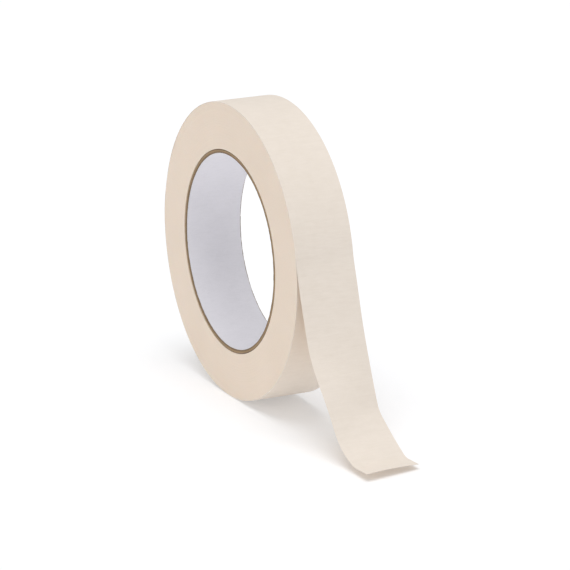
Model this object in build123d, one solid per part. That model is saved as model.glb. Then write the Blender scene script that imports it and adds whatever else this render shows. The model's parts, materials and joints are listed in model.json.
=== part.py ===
from build123d import *
import math
import os

# Masking tape roll: crepe paper tape wound on a spiral-wound paper core, with its free end hanging down
# one side. Millimetres. The roll's axis is Y, Z is up, and the origin is the centre of the core's bore.
# The roll stands on its rim, and the free end leaves it on the +X side.

# Core: a smooth white liner inside plies of kraft paper.
core_bore_radius = 38.1
liner_thickness = 0.18
ply_thickness = 0.38
ply_count = 4

# Each kraft ply is a strip wound in a helix, whose two edges meet with a small gap.
seam_gap = 0.4
seam_angle = 66.0
first_seam_position = 205.0
seam_step = 77.0

# Tape.
tape_width = 24.0
tape_thickness = 0.125
roll_radius = 58.2
lap_clearance = 0.125

# Where the tape leaves the roll, as an angle above the +X axis.
peel_angle = 11.0
peel_gap = 0.06

# The bare stretch between the outer lap's lower end and the peel line, measured round the rim.
lap_end_distance = 8.0

# The free end, from the peel line to its cut end, as arcs: length and upward turn in degrees.
tail_arcs = [
    (53.0, 24.0),
    (19.5, 25.0),
    (13.0, 20.0),
    (8.5, 8.0),
]

core_outer_radius = core_bore_radius + liner_thickness + ply_count * ply_thickness
pack_radius = roll_radius - tape_thickness - lap_clearance

os.makedirs("parts", exist_ok=True)

# The roll's profile is drawn in XZ. Its extrusion runs along Y, half the width to each side.
profile_plane = Plane(origin=(0, 0, 0), x_dir=(1, 0, 0), z_dir=(0, -1, 0))


def across_width(face):
    """The solid that a face in the XZ plane makes over the tape's whole width."""
    return extrude(face, amount=tape_width / 2, both=True)


def ring(inner_radius, outer_radius):
    """A ring about the Y axis, as wide as the tape."""
    return across_width(profile_plane * (Circle(outer_radius) - Circle(inner_radius)))


def seam(inner_radius, position):
    """The helical gap between the edges of one ply's strip, as a solid to cut away."""
    middle_radius = inner_radius + ply_thickness / 2
    overrun = 2.0
    pitch = 2 * math.pi * middle_radius / math.tan(math.radians(seam_angle))
    path = Helix(
        pitch=pitch,
        height=tape_width + 2 * overrun,
        radius=middle_radius,
        center=(0, -tape_width / 2 - overrun, 0),
        direction=(0, 1, 0),
    )
    section_plane = Plane(origin=path @ 0, x_dir=path @ 0 - Vector(0, (path @ 0).Y, 0), z_dir=path % 0)
    section = section_plane * Rectangle(2 * ply_thickness, seam_gap)
    return Rot(0, position, 0) * sweep(section, path=path, is_frenet=True)


def core_ply(number):
    """Kraft ply, counted outwards from 1."""
    inner_radius = core_bore_radius + liner_thickness + (number - 1) * ply_thickness
    position = first_seam_position + (number - 1) * seam_step
    return ring(inner_radius, inner_radius + ply_thickness) - seam(inner_radius, position)


def path_points(start, heading, arcs):
    """Each arc's start, middle and end, as (position, heading), along arcs that join tangentially."""
    runs = []
    position = start
    for length, turn in arcs:
        stations = [(position, heading)]
        for share in (0.5, 1.0):
            chord_heading = heading + turn * share / 2
            half_turn = math.radians(turn * share / 2)
            chord = length * share * math.sin(half_turn) / half_turn
            step = Vector(math.cos(math.radians(chord_heading)), math.sin(math.radians(chord_heading))) * chord
            stations.append((position + step, heading + turn * share))
        runs.append(stations)
        position, heading = stations[-1]
    return runs


def beside(station, distance):
    """The point at a distance to the left of a path's station."""
    position, heading = station
    sideways = Vector(-math.sin(math.radians(heading)), math.cos(math.radians(heading)))
    return position + sideways * distance


def tape_strip(start, heading, arcs):
    """A length of tape whose middle follows the arcs."""
    half = tape_thickness / 2
    runs = path_points(start, heading, arcs)
    edges = []
    for side in (half, -half):
        for stations in runs:
            edges.append(ThreePointArc(*[beside(station, side) for station in stations]))
    for end in (runs[0][0], runs[-1][-1]):
        edges.append(Line(beside(end, half), beside(end, -half)))
    return across_width(profile_plane * make_face(Wire(edges)))


def peel_point(distance_round_rim):
    """The middle of the tape's thickness at a distance above the peel line, and the direction down the rim."""
    middle_radius = roll_radius - tape_thickness / 2
    angle = math.radians(peel_angle) + distance_round_rim / roll_radius
    point = Vector(math.cos(angle), math.sin(angle)) * middle_radius
    return point, math.degrees(angle) - 90


def outer_lap():
    """The roll's last full lap, from just above the peel line over the top and round to just below it."""
    start, downward = peel_point(peel_gap)
    lap_angle = 360 - math.degrees((lap_end_distance + peel_gap) / roll_radius)
    lap_length = math.radians(lap_angle) * (roll_radius - tape_thickness / 2)
    return tape_strip(start, downward + 180, [(lap_length, lap_angle)])


def tape_tail():
    """The free end, which hangs away from the roll and turns out flat just above the ground."""
    start, downward = peel_point(0)
    return tape_strip(start, downward, tail_arcs)


parts = {"core_liner": ring(core_bore_radius, core_bore_radius + liner_thickness)}
for number in range(1, ply_count + 1):
    parts[f"core_ply_{number}"] = core_ply(number)
parts["tape_pack"] = ring(core_outer_radius, pack_radius)
parts["outer_lap"] = outer_lap()
parts["tape_tail"] = tape_tail()

for name, shape in parts.items():
    export_step(shape, f"parts/{name}.step")
    box = shape.bounding_box()
    print(name, round(shape.volume, 1), "mm3, x", round(box.min.X, 2), round(box.max.X, 2),
          "z", round(box.min.Z, 2), round(box.max.Z, 2))
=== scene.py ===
"""Masking tape roll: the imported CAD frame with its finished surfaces, on a pale studio floor."""

import json
import math

import bpy
import numpy as np
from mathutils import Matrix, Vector


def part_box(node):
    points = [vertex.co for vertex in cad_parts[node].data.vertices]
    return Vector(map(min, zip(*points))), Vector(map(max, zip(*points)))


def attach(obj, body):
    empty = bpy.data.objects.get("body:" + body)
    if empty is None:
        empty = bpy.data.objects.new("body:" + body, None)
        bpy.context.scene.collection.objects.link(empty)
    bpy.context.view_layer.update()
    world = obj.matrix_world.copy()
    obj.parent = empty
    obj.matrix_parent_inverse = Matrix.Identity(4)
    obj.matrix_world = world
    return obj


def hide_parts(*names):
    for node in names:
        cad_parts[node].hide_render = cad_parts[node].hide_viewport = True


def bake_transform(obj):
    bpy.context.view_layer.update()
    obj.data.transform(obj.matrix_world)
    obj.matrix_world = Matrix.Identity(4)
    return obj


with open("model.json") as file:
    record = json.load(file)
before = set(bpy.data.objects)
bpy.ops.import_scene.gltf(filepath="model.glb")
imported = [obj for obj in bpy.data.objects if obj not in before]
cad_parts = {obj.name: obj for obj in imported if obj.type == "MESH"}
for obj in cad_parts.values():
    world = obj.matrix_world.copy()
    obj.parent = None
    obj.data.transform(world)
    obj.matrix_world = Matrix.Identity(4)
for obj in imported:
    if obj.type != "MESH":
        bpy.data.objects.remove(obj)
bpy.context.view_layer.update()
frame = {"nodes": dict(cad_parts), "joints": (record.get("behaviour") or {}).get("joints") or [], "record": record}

MM = 0.001

# Sizes read from the frame, in metres.
roll_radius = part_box("outer_lap")[1].x
half_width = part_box("outer_lap")[1].y
pack_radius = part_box("tape_pack")[1].x
liner_outer_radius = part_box("core_liner")[1].x
core_outer_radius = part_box("core_ply_4")[1].x
bore_radius = frame["record"]["mounts"][0]["dims"]["r_mm"] * MM
tail_hinge = next(joint for joint in frame["joints"] if joint["name"] == "tail_lift")
peel_point = Vector(tail_hinge["pos_m"])
peel_angle = math.atan2(peel_point.z, peel_point.x)

# Between the wound laps and the rim are the outer lap and a clearance as thick as the tape.
tape_thickness = (roll_radius - pack_radius) / 2

# Colours, linear.
TAPE_COLOUR = (0.840, 0.755, 0.665)
TAPE_EDGE_COLOUR = (0.885, 0.750, 0.625)
ADHESIVE_COLOUR = (0.720, 0.535, 0.345)
KRAFT_COLOURS = [(0.225, 0.155, 0.095), (0.360, 0.245, 0.140), (0.410, 0.290, 0.170), (0.240, 0.160, 0.100)]
# The liner's face is greyer and more lavender than its white cut edge: painted cool shade of the bore on white
# paper.
LINER_COLOUR_WITH_BORE_SHADE = (0.795, 0.780, 0.822)
LINER_EDGE_COLOUR = (0.880, 0.875, 0.870)
FLOOR_COLOUR = (0.800, 0.805, 0.815)
FLOOR_GLOW_COLOUR = (0.97, 0.98, 1.00)
FLOOR_GLOW = 0.23


# ---------------------------------------------------------------- noise and curves

LATTICE = 256


def smoothstep(x):
    """Rises smoothly from 0 to 1 while x does."""
    x = np.clip(x, 0, 1)
    return x * x * (3 - 2 * x)


def lattice_noise(u, v, seed):
    """Smooth noise in -1 to 1, one random value per whole step of u and v."""
    values = np.random.default_rng(seed).uniform(-1, 1, (LATTICE, LATTICE))
    whole_u = np.floor(u).astype(int)
    whole_v = np.floor(v).astype(int)
    share_u = smoothstep(u - whole_u)
    share_v = smoothstep(v - whole_v)

    def row(step):
        here = values[whole_u % LATTICE, (whole_v + step) % LATTICE]
        after = values[(whole_u + 1) % LATTICE, (whole_v + step) % LATTICE]
        return here * (1 - share_u) + after * share_u

    return row(0) * (1 - share_v) + row(1) * share_v


def relief(along, across, depth, length, width, start, seed):
    """Smooth bulges and hollows, in metres, from positions, depth, length and width in millimetres."""
    return depth * MM * lattice_noise(along / length + start[0], across / width + start[1], seed)


def unit(vectors):
    return vectors / np.linalg.norm(vectors, axis=-1, keepdims=True)


# ---------------------------------------------------------------- mesh building

CORNER_ANGLE = math.radians(60)


def mesh_object(name, points, faces, materials, face_material, uv=None):
    """An object from numpy points and quads, smooth but for its corners, with one uv pair per point."""
    mesh = bpy.data.meshes.new(name)
    mesh.from_pydata(points.tolist(), [], faces.tolist())
    for material in materials:
        mesh.materials.append(material)
    mesh.polygons.foreach_set("material_index", face_material.astype(np.int32))
    mesh.polygons.foreach_set("use_smooth", np.ones(len(faces), bool))
    if uv is not None:
        layer = mesh.uv_layers.new(name="tape")
        layer.data.foreach_set("uv", uv[faces.ravel()].astype(np.float32).ravel())
    mesh.update()
    mesh.set_sharp_from_angle(angle=CORNER_ANGLE)
    obj = bpy.data.objects.new(name, mesh)
    bpy.context.scene.collection.objects.link(obj)
    return obj


def slab(name, top, bottom, materials, uv=None):
    """A closed sheet between two grids of points. Its materials are for the top, the bottom and the rim."""
    rows, columns = top.shape[:2]
    index = np.arange(rows * columns).reshape(rows, columns)
    under = index + rows * columns

    def quads(a, b, c, d):
        return np.stack([a.ravel(), b.ravel(), c.ravel(), d.ravel()], axis=1)

    faces = [
        quads(index[:-1, :-1], index[1:, :-1], index[1:, 1:], index[:-1, 1:]),
        quads(under[:-1, :-1], under[:-1, 1:], under[1:, 1:], under[1:, :-1]),
        quads(index[:-1, 0], under[:-1, 0], under[1:, 0], index[1:, 0]),
        quads(index[1:, -1], under[1:, -1], under[:-1, -1], index[:-1, -1]),
        quads(index[0, 1:], under[0, 1:], under[0, :-1], index[0, :-1]),
        quads(index[-1, :-1], under[-1, :-1], under[-1, 1:], index[-1, 1:]),
    ]
    kinds = np.concatenate([np.full(len(f), k) for f, k in zip(faces, (0, 1, 2, 2, 2, 2))])
    points = np.concatenate([top.reshape(-1, 3), bottom.reshape(-1, 3)])
    both_uv = None if uv is None else np.concatenate([uv.reshape(-1, 2)] * 2)
    return mesh_object(name, points, np.concatenate(faces), materials, kinds, both_uv)


def revolved(name, radius, side, material):
    """A closed ring about the Y axis. radius and side have a row per angle and a column per corner."""
    stations, corners = radius.shape
    angle = np.linspace(0, 2 * math.pi, stations, endpoint=False)[:, None]
    points = np.stack([radius * np.cos(angle), side, radius * np.sin(angle)], axis=2).reshape(-1, 3)
    index = np.arange(stations * corners).reshape(stations, corners)
    after = np.roll(index, -1, axis=0)
    faces = np.stack([index, after, np.roll(after, -1, axis=1), np.roll(index, -1, axis=1)], axis=2)
    faces = faces.reshape(-1, 4)
    return mesh_object(name, points, faces, [material], np.zeros(len(faces)))


# ---------------------------------------------------------------- materials

# Noise steps per metre along the tape and across it.
RIDGES = (1500, 210, 1)
COARSE_RIDGES = (520, 90, 1)
PULP = (260, 260, 1)
PATCHES = (28, 60, 1)

# Noise steps per metre on the slit edges and on paper board.
LAP_BANDS = 1600
EDGE_FIBRES = 2600
EDGE_CLOUDS = 45
BOARD_CLOUDS = 110
SPECKS_PER_FIBRE = 2.3
FIBRE_STRETCH = (1, 0.35, 1)

# What the darkest and lightest mottling does to a colour. On the crepe backing and adhesive side they also carry
# painted shade in the wrinkles' hollows and painted light on their crests.
BACKING_MOTTLE_AND_HOLLOW_SHADE = (0.955, 0.945, 0.925)
BACKING_MOTTLE_AND_CREST_LIGHT = (1.035, 1.040, 1.050)
EDGE_DARK = (0.95, 0.94, 0.92)
EDGE_LIGHT = (1.04, 1.05, 1.07)


class Nodes:
    """Short calls for building one material's node tree."""

    def __init__(self, name):
        self.material = bpy.data.materials.new(name)
        self.material.use_nodes = True
        self.tree = self.material.node_tree
        self.shader = self.tree.nodes["Principled BSDF"]

    def add(self, kind, **settings):
        node = self.tree.nodes.new(kind)
        for key, value in settings.items():
            setattr(node, key, value)
        return node

    def link(self, source, target):
        self.tree.links.new(source, target)

    def set_shader(self, values):
        for socket, value in values.items():
            self.shader.inputs[socket].default_value = value

    def math(self, operation, a, b=None):
        node = self.add("ShaderNodeMath", operation=operation)
        for socket, value in zip(node.inputs, (a, b)):
            if isinstance(value, (int, float)):
                socket.default_value = value
            elif value is not None:
                self.link(value, socket)
        return node.outputs[0]

    def weighted_sum(self, *terms):
        """The sum of (value, weight) terms."""
        weighted = [self.math("MULTIPLY", value, weight) for value, weight in terms]
        total = weighted[0]
        for term in weighted[1:]:
            total = self.math("ADD", total, term)
        return total

    def scaled(self, vector, scale):
        node = self.add("ShaderNodeMapping")
        self.link(vector, node.inputs["Vector"])
        node.inputs["Scale"].default_value = scale
        return node.outputs["Vector"]

    def noise(self, vector, scale=1.0, detail=2.0, roughness=0.5, distortion=0.0):
        node = self.add("ShaderNodeTexNoise")
        self.link(vector, node.inputs["Vector"])
        node.inputs["Scale"].default_value = scale
        node.inputs["Detail"].default_value = detail
        node.inputs["Roughness"].default_value = roughness
        node.inputs["Distortion"].default_value = distortion
        return node.outputs["Fac"]

    def ramp(self, value, stops):
        """A colour ramp with (position, colour) stops."""
        node = self.add("ShaderNodeValToRGB")
        elements = node.color_ramp.elements
        while len(elements) < len(stops):
            elements.new(0.5)
        for element, (position, colour) in zip(elements, stops):
            element.position = position
            element.color = (*colour, 1)
        self.link(value, node.inputs["Fac"])
        return node.outputs["Color"]

    def remap(self, value, low, high, new_low, new_high):
        node = self.add("ShaderNodeMapRange")
        self.link(value, node.inputs["Value"])
        for key, number in zip(("From Min", "From Max", "To Min", "To Max"), (low, high, new_low, new_high)):
            node.inputs[key].default_value = number
        return node.outputs["Result"]

    def bump(self, height, distance):
        node = self.add("ShaderNodeBump")
        node.inputs["Strength"].default_value = 1.0
        node.inputs["Distance"].default_value = distance
        self.link(height, node.inputs["Height"])
        return node.outputs["Normal"]


def tinted(colour, factors):
    """A colour with each channel multiplied by its own factor."""
    return tuple(channel * factor for channel, factor in zip(colour, factors))


def crepe_material(name, colour, roughness, bump_height, gloss):
    """Crepe paper: short wrinkles across the tape, pulp mottling, painted shade in the wrinkles' hollows and
    painted light on their crests, and a satin release coat.
    """
    n = Nodes(name)
    place = n.add("ShaderNodeUVMap", uv_map="tape").outputs["UV"]
    ridges = n.noise(n.scaled(place, RIDGES), detail=4, roughness=0.62, distortion=0.35)
    coarse = n.noise(n.scaled(place, COARSE_RIDGES), detail=2, roughness=0.5, distortion=0.2)
    pulp = n.noise(n.scaled(place, PULP), detail=5, roughness=0.65)
    patches = n.noise(n.scaled(place, PATCHES), detail=2)
    height = n.weighted_sum((ridges, 1.0), (coarse, 0.8))
    # The wrinkles' height darkens the colour in their hollows and lightens it on their crests: painted shade and
    # light, mixed with real pulp and patch mottling.
    shade = n.weighted_sum((pulp, 0.45), (height, 0.38), (patches, 0.25))
    colours = n.ramp(shade, [
        (0.38, tinted(colour, BACKING_MOTTLE_AND_HOLLOW_SHADE)),
        (0.58, colour),
        (0.80, tinted(colour, BACKING_MOTTLE_AND_CREST_LIGHT)),
    ])
    n.link(colours, n.shader.inputs["Base Color"])
    n.link(n.remap(height, 0.5, 1.3, roughness - 0.08, roughness + 0.10), n.shader.inputs["Roughness"])
    n.link(n.bump(height, bump_height), n.shader.inputs["Normal"])
    n.set_shader({"Specular IOR Level": gloss})
    return n.material


def wound_edge_material():
    """The slit edges of the wound laps: cream paper edges, a little adhesive between them, faint rings."""
    n = Nodes("wound_edges")
    place = n.add("ShaderNodeTexCoord").outputs["Object"]
    split = n.add("ShaderNodeSeparateXYZ")
    n.link(place, split.inputs[0])
    squares = [n.math("MULTIPLY", split.outputs[axis], split.outputs[axis]) for axis in ("X", "Z")]
    radius = n.math("SQRT", n.math("ADD", *squares))
    rings = n.add("ShaderNodeCombineXYZ")
    n.link(radius, rings.inputs["X"])
    bands = n.noise(rings.outputs[0], scale=LAP_BANDS, detail=5, roughness=0.75)
    fibres = n.noise(place, scale=EDGE_FIBRES, detail=4, roughness=0.6)
    clouds = n.noise(place, scale=EDGE_CLOUDS, detail=2)
    shade = n.weighted_sum((bands, 0.4), (fibres, 0.4), (clouds, 0.2))
    colours = n.ramp(shade, [
        (0.36, tinted(TAPE_EDGE_COLOUR, EDGE_DARK)),
        (0.52, TAPE_EDGE_COLOUR),
        (0.68, tinted(TAPE_EDGE_COLOUR, EDGE_LIGHT)),
    ])
    n.link(colours, n.shader.inputs["Base Color"])
    n.link(n.remap(fibres, 0.3, 0.7, 0.62, 0.80), n.shader.inputs["Roughness"])
    n.link(n.bump(n.math("ADD", bands, fibres), 0.02 * MM), n.shader.inputs["Normal"])
    n.set_shader({
        "Specular IOR Level": 0.30,
        "Subsurface Weight": 0.15,
        "Subsurface Radius": (1.6 * MM, 1.0 * MM, 0.6 * MM),
        "Subsurface Scale": 1.0,
    })
    return n.material


def board_material(name, colour, contrast, fibre_scale, roughness):
    """Uncoated paper or board, with fibres and faint mottling."""
    n = Nodes(name)
    place = n.add("ShaderNodeTexCoord").outputs["Object"]
    drawn_out = n.scaled(place, FIBRE_STRETCH)
    fibres = n.noise(drawn_out, scale=fibre_scale, detail=5, roughness=0.7, distortion=0.6)
    clouds = n.noise(place, scale=BOARD_CLOUDS, detail=3)
    specks = n.noise(place, scale=fibre_scale * SPECKS_PER_FIBRE, detail=2)
    shade = n.weighted_sum((fibres, 0.5), (clouds, 0.3), (specks, 0.2))
    colours = n.ramp(shade, [
        (0.34, tinted(colour, [1 - contrast] * 3)),
        (0.52, colour),
        (0.70, tinted(colour, [1 + contrast * 0.6] * 3)),
    ])
    n.link(colours, n.shader.inputs["Base Color"])
    n.link(n.remap(fibres, 0.3, 0.7, roughness - 0.08, roughness + 0.06), n.shader.inputs["Roughness"])
    n.link(n.bump(fibres, 0.03 * MM), n.shader.inputs["Normal"])
    n.set_shader({"Specular IOR Level": 0.30})
    return n.material


backing = crepe_material("crepe_backing", TAPE_COLOUR, roughness=0.56, bump_height=0.045 * MM, gloss=0.35)
adhesive = crepe_material("adhesive_side", ADHESIVE_COLOUR, roughness=0.34, bump_height=0.02 * MM, gloss=0.5)
wound_edges = wound_edge_material()
krafts = [
    board_material(f"kraft_board_{number + 1}", colour, contrast=0.22, fibre_scale=1500, roughness=0.86)
    for number, colour in enumerate(KRAFT_COLOURS)
]
liner = board_material("liner_paper", LINER_COLOUR_WITH_BORE_SHADE, contrast=0.05, fibre_scale=900, roughness=0.66)
liner_edge = board_material(
    "liner_cut_edge", LINER_EDGE_COLOUR, contrast=0.06, fibre_scale=1500, roughness=0.8,
)


# ---------------------------------------------------------------- the strip of tape

# The free end's two edges hang a little differently, so the strip twists. Each bend is
# (distance from the peel line, length of the bend, upward turn in degrees).
FRONT_BENDS = [(5, 16, 8), (36, 20, 22), (70, 12, 8), (76, 14, 23), (85, 7, 21.5)]
BACK_BENDS = [(1.5, 5, 6.6), (36, 42, 10.5), (60, 8, 28.5), (74, 16, 6.5), (84, 6, 30)]
FRONT_LENGTH = 95.0 * MM
BACK_LENGTH = 93.8 * MM

# The lap's inner end goes on past one full turn, under its outer end.
TUCKED_ANGLE = math.radians(6)
TUCKED_BLEND = math.radians(1)

# Spacing of the mesh along the strip, and its points across.
STEP = 0.25 * MM
WIDTH_POINTS = 25

# The free end's cup and ripple grow over this distance from the peel line, in millimetres.
LOOSE_LENGTH = 30
CUP_DEPTH = 0.35 * MM
RIPPLE = dict(depth=0.25, length=17, width=30, start=(40, 7), seed=5)
WRINKLES = [
    dict(depth=0.018, length=0.95, width=4.5, start=(500, 50), seed=1),
    dict(depth=0.010, length=0.55, width=2.4, start=(900, 80), seed=2),
]
INNER_WRINKLE_SHARE = 0.6

# The slit edges wander in and out. The higher the power, the nearer to the edge that stays.
EDGE_WANDER = dict(depth=0.05, length=14, width=math.inf, start=(300, 3), seed=3)
EDGE_POWER = 12

# How much of the gap below the lap its underside fills.
FILLED_SHARE = 0.95


def edge_path(distance, bends):
    """X and Z of one edge of the free end, at distances below the peel line."""
    heading = np.full(len(distance), peel_angle - math.pi / 2)
    for middle, spread, turn in bends:
        heading += math.radians(turn) * smoothstep((distance / MM - middle) / spread + 0.5)
    step = np.diff(distance, prepend=distance[0])
    middle_radius = roll_radius - tape_thickness / 2
    x = middle_radius * math.cos(peel_angle) + np.cumsum(np.cos(heading) * step)
    z = middle_radius * math.sin(peel_angle) + np.cumsum(np.sin(heading) * step)
    return x, z


def lap_middle(lap, across):
    """The wound part's middle surface: a spiral that rises by one thickness a turn, up to the peel line."""
    turn = lap / roll_radius
    radius = roll_radius - tape_thickness / 2 + tape_thickness * turn / (2 * math.pi)
    points = np.empty((len(lap), WIDTH_POINTS, 3))
    points[:, :, 0] = (radius * np.cos(peel_angle - turn))[:, None]
    points[:, :, 1] = across * half_width
    points[:, :, 2] = (radius * np.sin(peel_angle - turn))[:, None]
    return points


def tail_middle(tail, across):
    """The free end's middle surface, ruled between its two edges and kept to the tape's width."""
    front_x, front_z = edge_path(tail, FRONT_BENDS)
    back_x, back_z = edge_path(tail * BACK_LENGTH / FRONT_LENGTH, BACK_BENDS)
    share = (across + 1) / 2
    skew = np.hypot(front_x - back_x, front_z - back_z) / 2
    points = np.empty((len(tail), WIDTH_POINTS, 3))
    points[:, :, 0] = front_x[:, None] * (1 - share) + back_x[:, None] * share
    points[:, :, 1] = across * np.sqrt(half_width**2 - np.minimum(skew, half_width / 2)**2)[:, None]
    points[:, :, 2] = front_z[:, None] * (1 - share) + back_z[:, None] * share
    return points


def strip_middle():
    """The strip's middle surface, one row per station along it and one column across, with its uv."""
    lap_length = (2 * math.pi + TUCKED_ANGLE) * roll_radius
    lap = np.linspace(-lap_length, 0, int(lap_length / STEP), endpoint=False)
    tail = np.linspace(0, FRONT_LENGTH, int(FRONT_LENGTH / STEP))
    across = np.linspace(-1, 1, WIDTH_POINTS)
    points = np.concatenate([lap_middle(lap, across), tail_middle(tail, across)])
    along = np.concatenate([lap, tail])
    uv = np.stack(np.broadcast_arrays(along[:, None] + lap_length, across * half_width + half_width), axis=2)
    return points, along, across, uv


def gap_below(along):
    """The gap below the lap. It closes over one turn of the spiral, and there is none over the tucked end."""
    turned = np.clip(-along / roll_radius, 0, 2 * math.pi)[:, None]
    past_tucked_end = smoothstep((turned - TUCKED_ANGLE) / TUCKED_BLEND)
    return tape_thickness * (1 - turned / (2 * math.pi)) * past_tucked_end


def make_strip():
    middle, along, across, uv = strip_middle()
    flow = unit(np.gradient(middle, axis=0))
    sideways = unit(np.gradient(middle, axis=1))
    outward = unit(np.cross(flow, sideways))
    along_mm = along[:, None] / MM
    across_mm = across[None, :] * half_width / MM

    loose = smoothstep(along_mm / LOOSE_LENGTH)
    cup = CUP_DEPTH * loose * (1 - across**2)
    ripple = loose * relief(along_mm, across_mm, **RIPPLE)
    middle = middle + outward * (cup + ripple)[:, :, None]
    near_edge = np.sign(across) * np.abs(across)**EDGE_POWER
    middle[:, :, 1] += near_edge * relief(along_mm, across_mm, **EDGE_WANDER)

    # The underside reaches down to the laps below, so that no gap shows at the roll's edge.
    half = tape_thickness / 2
    wrinkle = sum(relief(along_mm, across_mm, **bumps) for bumps in WRINKLES)
    below = half - wrinkle * INNER_WRINKLE_SHARE + gap_below(along) * FILLED_SHARE
    top = middle + outward * (half + wrinkle)[:, :, None]
    bottom = middle - outward * below[:, :, None]
    sides = [backing, adhesive, backing]

    # The strip is in two pieces that meet at the peel line: the lap on the roll and the free end.
    peel_row = int(np.argmin(np.abs(along)))
    lap = slab("lap_strip", top[:peel_row + 1], bottom[:peel_row + 1], sides, uv[:peel_row + 1])
    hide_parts("outer_lap")
    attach(lap, "wrap")

    tail = slab("tail_strip", top[peel_row:], bottom[peel_row:], sides, uv[peel_row:])
    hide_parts("tape_tail")
    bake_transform(tail)


# ---------------------------------------------------------------- the wound laps

PACK_STATIONS = 160
PACK_SEED = 11

# How the laps' slit edges stand out of line, in millimetres: a slow drift from lap to lap, a scatter, and a
# wander once and twice round the roll. The drift's average over this many laps to each side is taken off it.
LAP_DRIFT = 0.004
LAP_SCATTER = 0.006
LAP_WANDER_ONCE = 0.012
LAP_WANDER_TWICE = 0.008
AVERAGED_LAPS = 12

# How the wander's phase changes from lap to lap, in radians, and the second wander's share of it.
PHASE_DRIFT = 0.5
SECOND_PHASE = 1.7

# Each lap's inner corner is set back by this many millimetres, which leaves a groove between laps.
GROOVE_DEPTH = 0.022

# Clearances to the faces of the CAD ring.
SIDE_CLEARANCE = 0.02 * MM
INNER_CLEARANCE = 0.02 * MM
OUTER_CLEARANCE = 0.01 * MM


def lap_edges(laps):
    """How far each lap's edge stands out, in millimetres: one row per angle, two columns per lap."""
    rng = np.random.default_rng(PACK_SEED)
    level = np.cumsum(rng.normal(0, LAP_DRIFT, laps))
    window = 2 * AVERAGED_LAPS + 1
    level -= np.convolve(np.pad(level, AVERAGED_LAPS, mode="edge"), np.full(window, 1 / window), mode="valid")
    level += rng.normal(0, LAP_SCATTER, laps)
    angle = np.linspace(0, 2 * math.pi, PACK_STATIONS, endpoint=False)[:, None]
    phase = np.cumsum(rng.normal(0, PHASE_DRIFT, laps))
    once = LAP_WANDER_ONCE * np.sin(angle + phase)
    twice = LAP_WANDER_TWICE * np.sin(2 * angle + SECOND_PHASE * phase)
    edges = np.repeat(level + once + twice, 2, axis=1)
    edges[:, 0::2] -= GROOVE_DEPTH
    return edges


def make_pack():
    laps = int(round((pack_radius - core_outer_radius) / tape_thickness))
    side = half_width + lap_edges(laps) * MM - SIDE_CLEARANCE
    radii = np.linspace(core_outer_radius + INNER_CLEARANCE, pack_radius - OUTER_CLEARANCE, 2 * laps)
    radius = np.broadcast_to(radii, side.shape)
    pack = revolved("wound_laps", np.concatenate([radius, radius[:, ::-1]], axis=1),
                    np.concatenate([side, -side[:, ::-1]], axis=1), wound_edges)
    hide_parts("tape_pack")
    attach(pack, "roll")


# ---------------------------------------------------------------- the core

CORE_STATIONS = 288
CORE_ROWS = 33
SEAM_ANGLE = math.radians(66)

# Where the seams cross the middle of the width, in radians round the core.
FIRST_PLY_SEAM = 2.4
PLY_SEAM_STEP = 1.35
LINER_SEAM = -0.1

# The kraft plies' edges meet with a gap. The liner's edges lap, and rise over this share of the lap.
PLY_GAP = 0.4 * MM
LINER_LAP = 3 * MM
RISE_SHARE = 0.4

# How far the layers are set back from the roll's sides, and the clearance between plies.
KRAFT_RECESS = [0.10 * MM, 0.12 * MM, 0.10 * MM, 0.30 * MM]
LINER_RECESS = 0.42 * MM
PLY_CLEARANCE = 0.015 * MM

# The cut edges are a little ragged. The higher the power, the nearer to the edge that stays.
RAGGED_DEPTH = 0.06
RAGGED_LENGTH = 1.3
RAGGED_START = 600
RAGGED_POWER = 20
PLY_SEED = 20
LINER_SEED = 31


def core_layer(name, inner, outer, recess, seam_at, overlap, materials, seed):
    """One paper layer of the core, wound in a helix. overlap is how far its edges lap, or minus the gap."""
    radius = (inner + outer) / 2
    reach = half_width - recess
    across = np.linspace(-reach, reach, CORE_ROWS)
    round_share = np.linspace(0, 1, CORE_STATIONS)[:, None]
    start = seam_at + across * math.tan(SEAM_ANGLE) / radius
    strip_angle = 2 * math.pi + overlap / radius
    angle = start + round_share * strip_angle
    lift = np.zeros_like(angle)
    if overlap > 0:
        covered = (round_share - 1) * strip_angle * radius / overlap + 1 + RISE_SHARE
        lift = smoothstep(covered / RISE_SHARE) * (outer - inner)
    near_edge = np.sign(across) * (np.abs(across) / reach)**RAGGED_POWER
    ragged = relief(angle * radius / MM, across / MM, depth=RAGGED_DEPTH, length=RAGGED_LENGTH,
                    width=math.inf, start=(RAGGED_START, seed), seed=seed)
    y = across + near_edge * ragged

    def surface(r):
        return np.stack([r * np.cos(angle), y, r * np.sin(angle)], axis=2)

    return slab(name, surface(inner - lift), surface(outer - lift), materials)


def make_core():
    plies = [node for node in sorted(frame["nodes"]) if node.startswith("core_ply_")]
    thickness = (core_outer_radius - liner_outer_radius) / len(plies)
    for number, node in enumerate(plies):
        inner = liner_outer_radius + number * thickness + PLY_CLEARANCE
        outer = liner_outer_radius + (number + 1) * thickness - PLY_CLEARANCE
        ply = core_layer(f"kraft_layer_{number + 1}", inner, outer, recess=KRAFT_RECESS[number],
                         seam_at=FIRST_PLY_SEAM + PLY_SEAM_STEP * number, overlap=-PLY_GAP,
                         materials=[krafts[number]] * 3, seed=PLY_SEED + number)
        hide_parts(node)
        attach(ply, "roll")
    sleeve = core_layer("liner_sleeve", bore_radius, liner_outer_radius, recess=LINER_RECESS,
                        seam_at=LINER_SEAM, overlap=LINER_LAP, materials=[liner, liner, liner_edge],
                        seed=LINER_SEED)
    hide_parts("core_liner")
    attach(sleeve, "roll")


make_pack()
make_strip()
make_core()


# ---------------------------------------------------------------- floor, light and camera

FLOOR_REACH = 12.0

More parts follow.
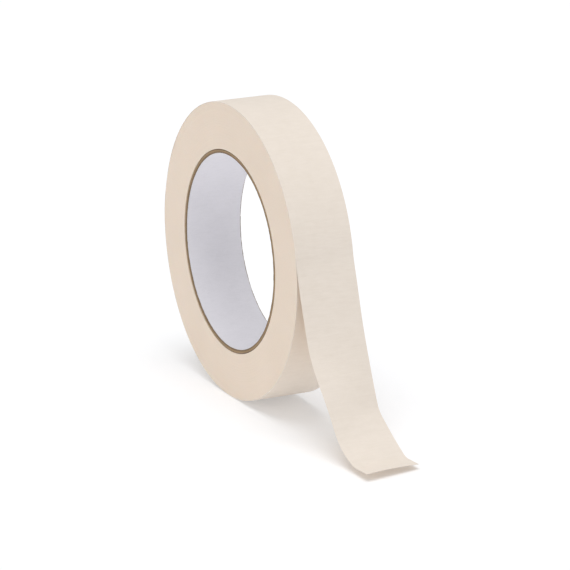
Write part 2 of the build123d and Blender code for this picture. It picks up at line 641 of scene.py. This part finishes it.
# The lights: an even surround, and distant soft lights given as the direction from the object to the light,
# the light's irradiance, and its width in degrees.
SURROUND_STRENGTH = 0.49
SOFT_LIGHTS = {
    "key_softbox": dict(towards=(0.15, -0.10, 1.0), irradiance=0.49, spread=45),
    "front_softbox": dict(towards=(0.0, -1.0, 0.15), irradiance=0.11, spread=60),
}

# The camera: what it looks at, how far it is, and its angles from the front and above the floor.
CAMERA_AIM = Vector((8.5, 8.0, -13.8)) * MM
CAMERA_DISTANCE = 1.4435
CAMERA_AZIMUTH = math.radians(63.2)
CAMERA_ELEVATION = math.radians(16.43)
SENSOR_WIDTH = 36.0
FOCAL_LENGTH = 235.95


def make_floor():
    mesh = bpy.data.meshes.new("floor")
    corners = [(-FLOOR_REACH, -FLOOR_REACH), (FLOOR_REACH, -FLOOR_REACH),
               (FLOOR_REACH, FLOOR_REACH), (-FLOOR_REACH, FLOOR_REACH)]
    mesh.from_pydata([(x, y, -roll_radius) for x, y in corners], [], [(0, 1, 2, 3)])
    floor = bpy.data.objects.new("floor", mesh)
    bpy.context.scene.collection.objects.link(floor)
    n = Nodes("studio_floor")
    n.set_shader({
        "Base Color": (*FLOOR_COLOUR, 1),
        "Roughness": 0.9,
        "Specular IOR Level": 0.0,
        "Emission Color": (*FLOOR_GLOW_COLOUR, 1),
        "Emission Strength": FLOOR_GLOW,
    })
    mesh.materials.append(n.material)


def add_sun(name, towards, irradiance, spread):
    sun = bpy.data.lights.new(name, "SUN")
    sun.energy = irradiance * math.pi
    sun.angle = math.radians(spread)
    lamp = bpy.data.objects.new(name, sun)
    lamp.rotation_euler = Vector(towards).to_track_quat("Z", "Y").to_euler()
    bpy.context.scene.collection.objects.link(lamp)


def make_light():
    world = bpy.data.worlds.new("studio")
    bpy.context.scene.world = world
    world.use_nodes = True
    background = world.node_tree.nodes["Background"]
    background.inputs["Color"].default_value = (1, 1, 1, 1)
    background.inputs["Strength"].default_value = SURROUND_STRENGTH
    for name, settings in SOFT_LIGHTS.items():
        add_sun(name, **settings)


def make_camera():
    back = Vector((
        math.sin(CAMERA_AZIMUTH) * math.cos(CAMERA_ELEVATION),
        -math.cos(CAMERA_AZIMUTH) * math.cos(CAMERA_ELEVATION),
        math.sin(CAMERA_ELEVATION),
    ))
    data = bpy.data.cameras.new("camera")
    data.sensor_width = SENSOR_WIDTH
    data.lens = FOCAL_LENGTH
    camera = bpy.data.objects.new("camera", data)
    camera.location = CAMERA_AIM + back * CAMERA_DISTANCE
    camera.rotation_mode = "QUATERNION"
    camera.rotation_quaternion = back.to_track_quat("Z", "Y")
    bpy.context.scene.collection.objects.link(camera)
    bpy.context.scene.camera = camera


make_floor()
make_light()
make_camera()
bpy.context.scene.view_settings.view_transform = "Standard"
